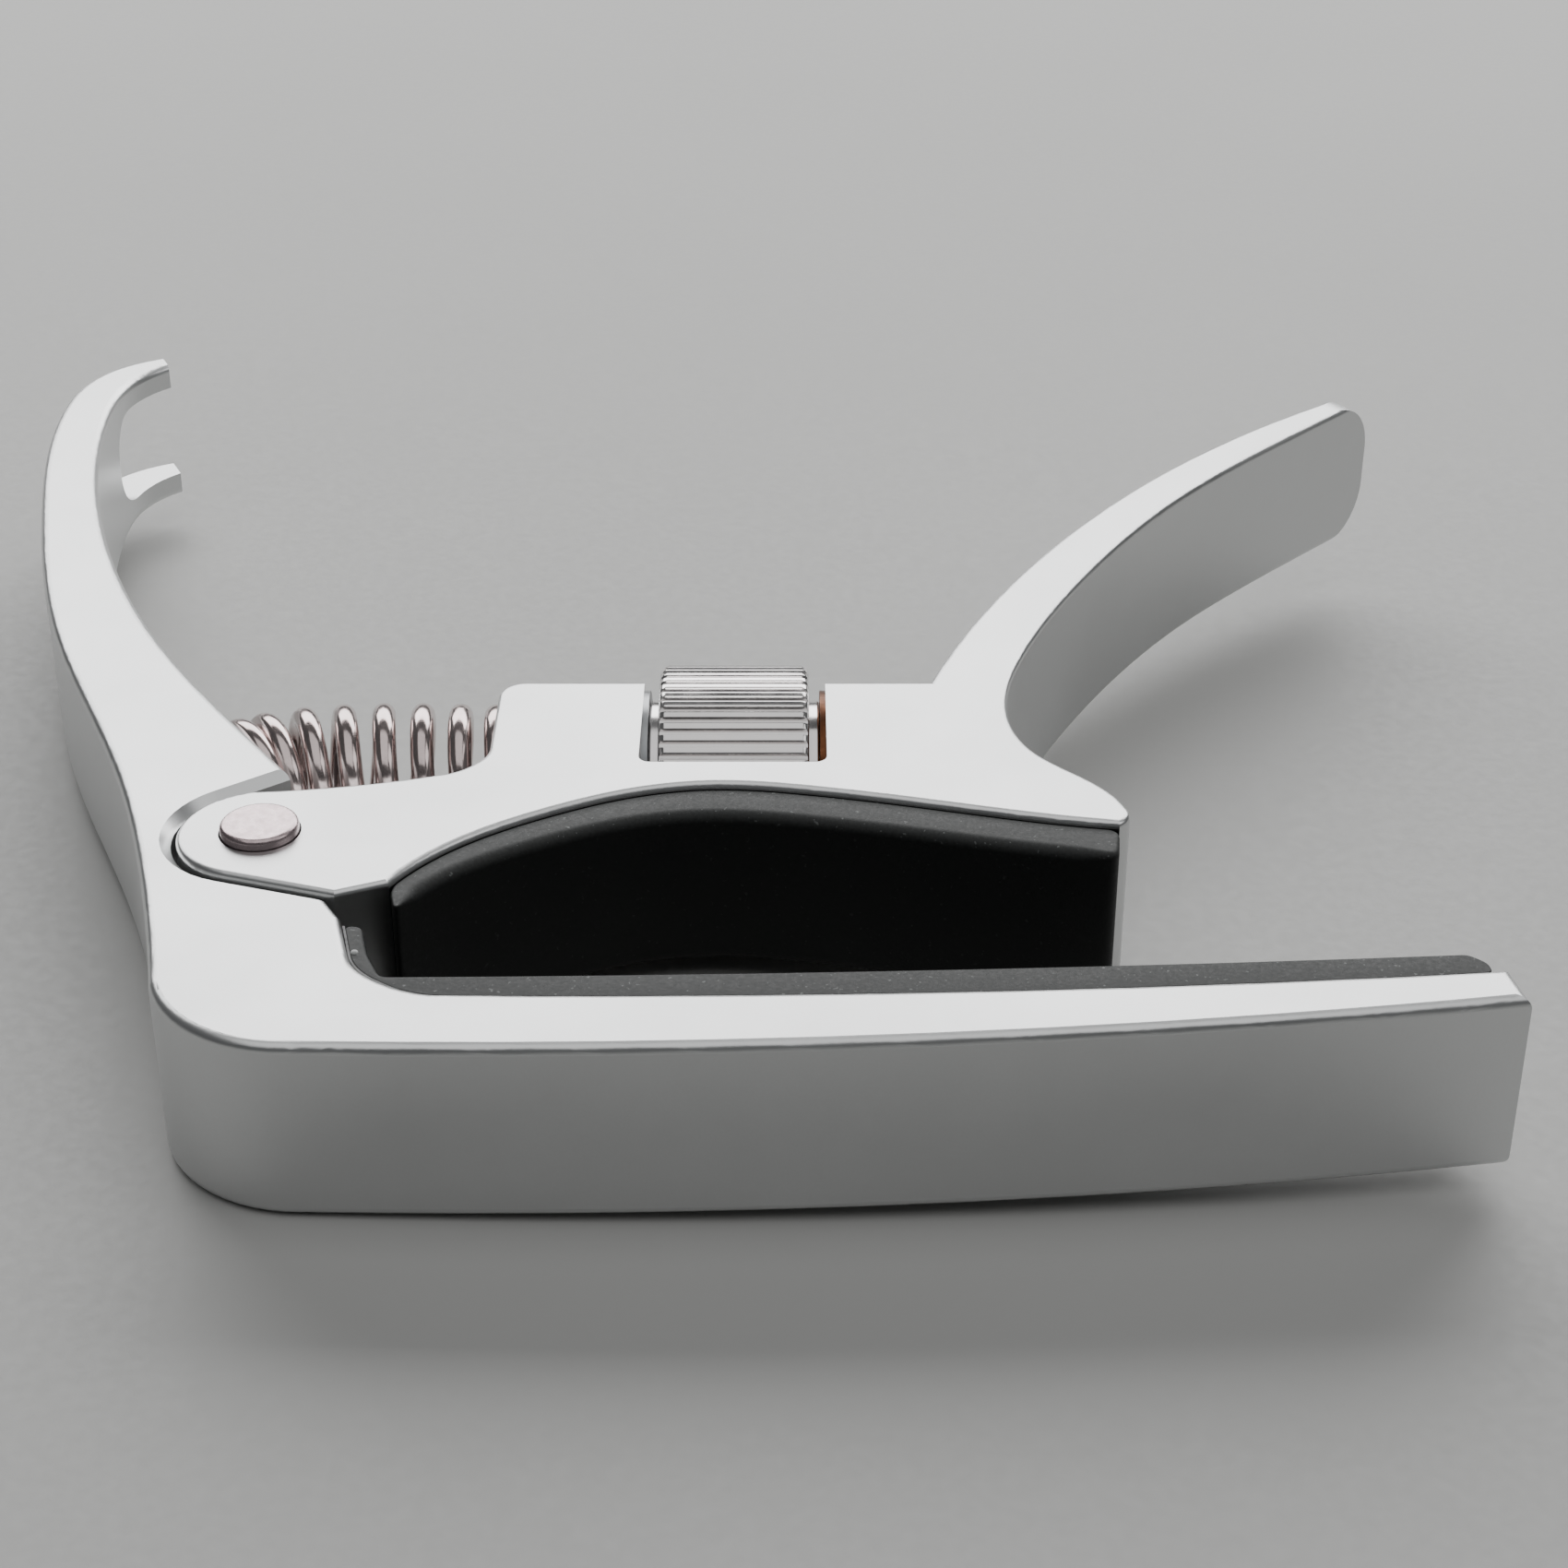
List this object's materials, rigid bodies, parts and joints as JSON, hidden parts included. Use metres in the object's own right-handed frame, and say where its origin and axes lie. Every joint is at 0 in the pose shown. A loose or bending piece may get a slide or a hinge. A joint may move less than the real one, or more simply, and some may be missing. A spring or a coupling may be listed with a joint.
{
  "type": "guitar capo",
  "caption": "Trigger capo: a padded string bar with a long handle, a padded arched jaw on a hinge pin, a coil spring between them, and a knurled knob that sets the spring's tension.",
  "frame": {"origin": "middle of the capo's footprint, at the lowest point of the knob", "axes": "+X from the hinge pin along the string bar to its free end, +Y from the string bar across to the handle's and trigger's ends, +Z along the hinge pin, through the thickness"},
  "size_m": [0.109, 0.1034, 0.0154],
  "materials": {
    "cast_arms": "satin silver, die cast and plated",
    "rubber_pads": "matte moulded silicone rubber",
    "glue": "cured glue film",
    "pin_nickel": "turned and nickel plated",
    "knob_chrome": "knurled and bright chrome plated",
    "brass_parts": "turned",
    "washer_steel": "stamped",
    "screw_steel": "turned, zinc plated",
    "spring_wire": "nickel plated spring wire"
  },
  "bodies": {
    "bar": {"bar_arm": "cast_arms", "string_pad": "rubber_pads", "string_pad_adhesive": "glue", "pivot_pin": "pin_nickel", "upper_thrust_washer": "washer_steel", "lower_thrust_washer": "washer_steel", "spring_peg": "screw_steel", "tension_spring": "spring_wire"},
    "jaw": {"jaw_arm": "cast_arms", "neck_pad": "rubber_pads", "neck_pad_adhesive": "glue", "knob_washer_left": "washer_steel", "knob_washer_right": "brass_parts", "screw_key_pin": "screw_steel"},
    "knob": {"tension_knob": "knob_chrome", "knob_insert": "brass_parts"},
    "screw": {"tension_screw": "screw_steel", "spring_seat": "screw_steel"}
  },
  "joints": [
    {"name": "jaw_pivot", "type": "hinge", "parent": "bar", "child": "jaw", "pos_m": [-0.02754, -0.02804, 0.0077], "axis": [0, 0, 1], "range_deg": [0, 20], "stiffness_Nm_per_rad": 0.8, "springref_deg": -45.84, "deforming": ["tension_spring"]},
    {"name": "knob_turn", "type": "hinge", "parent": "jaw", "child": "knob", "pos_m": [0.00206, -0.01083, 0.0077], "axis": [1, 0, 0], "range_deg": [0, 720]},
    {"name": "screw_feed", "type": "slide", "parent": "jaw", "child": "screw", "axis": [-1, 0, 0], "range_m": [0, 0.0014]}
  ],
  "couplings": [
    {"joint": "screw_feed", "follows": "knob_turn", "m_per_rad": 0.00011141}
  ]
}
